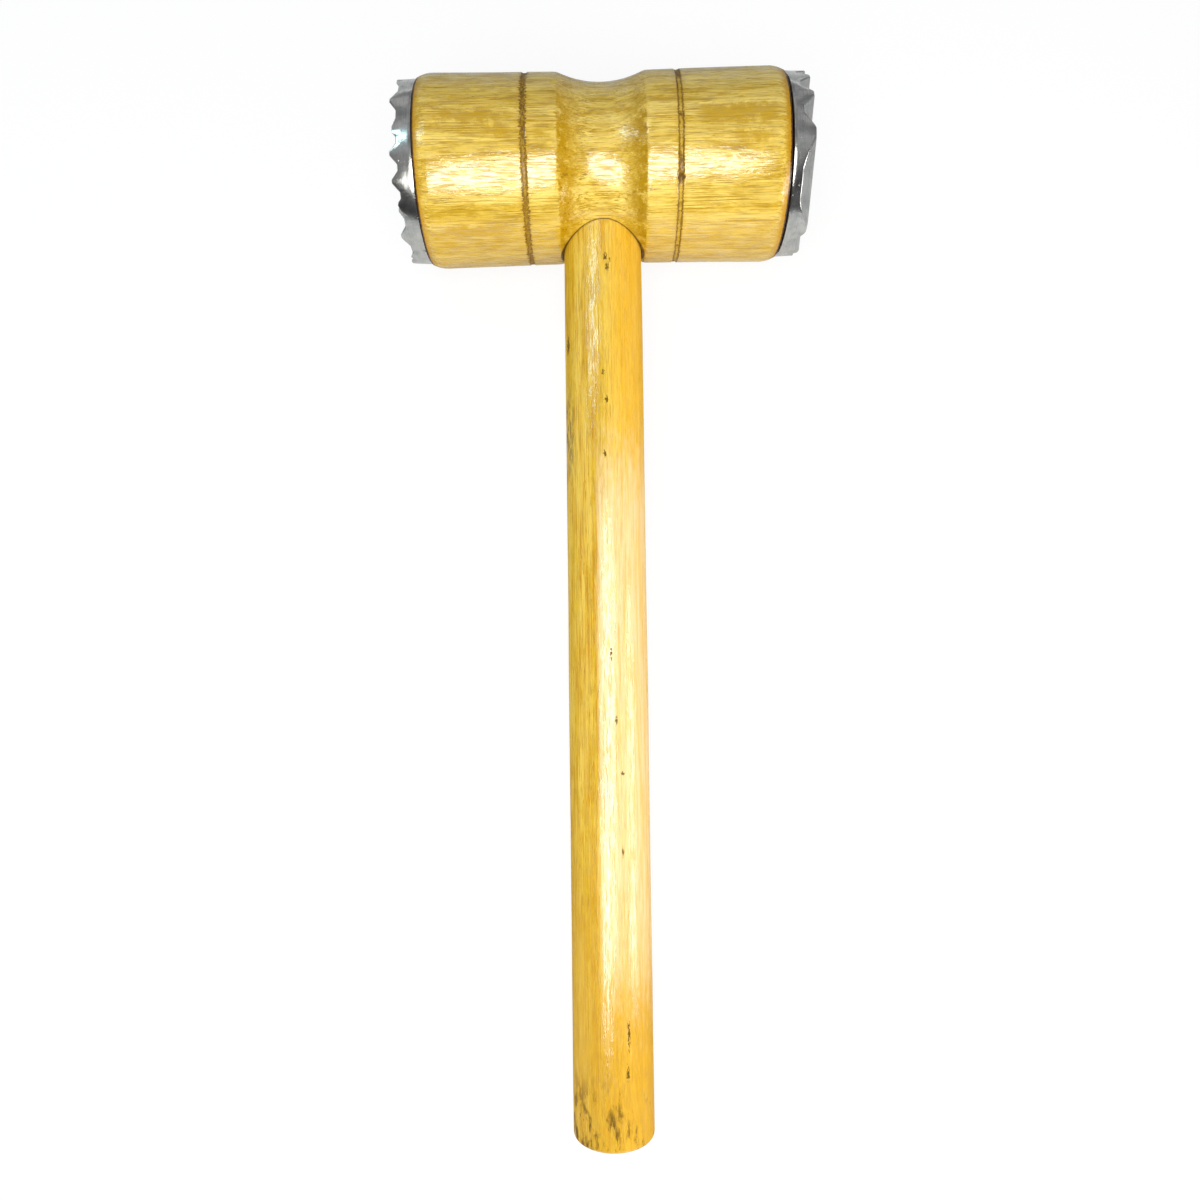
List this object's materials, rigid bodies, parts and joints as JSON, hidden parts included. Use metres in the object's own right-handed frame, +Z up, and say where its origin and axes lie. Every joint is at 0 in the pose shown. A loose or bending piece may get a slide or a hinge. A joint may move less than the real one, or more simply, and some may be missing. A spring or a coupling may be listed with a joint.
{
  "type": "meat tenderizer mallet",
  "caption": "Wooden meat mallet lying on its side: turned barrel with a cove and two grooves, dowel handle wedged through it, cast faces with pyramid teeth and with ridges.",
  "frame": {"origin": "on the surface that the mallet lies on, below the middle of its outer box", "axes": "+Z up, X along the barrel with the fine face at -X and the ridged face at +X, the handle points to -Y and droops by about 3.1 degrees until its far end touches the surface"},
  "size_m": [0.1126, 0.2952, 0.0511],
  "materials": {
    "barrel_wood": "worn clear varnish",
    "handle_wood": "worn clear varnish",
    "wedge_wood": "sanded",
    "cast_metal": "polished casting with small pits",
    "screw_steel": "plain steel"
  },
  "bodies": {
    "root": {"head": "barrel_wood", "handle": "handle_wood", "handle_wedge": "wedge_wood", "fine_cap": "cast_metal", "coarse_cap": "cast_metal", "fine_cap_screw": "screw_steel", "coarse_cap_screw": "screw_steel"}
  },
  "joints": []
}
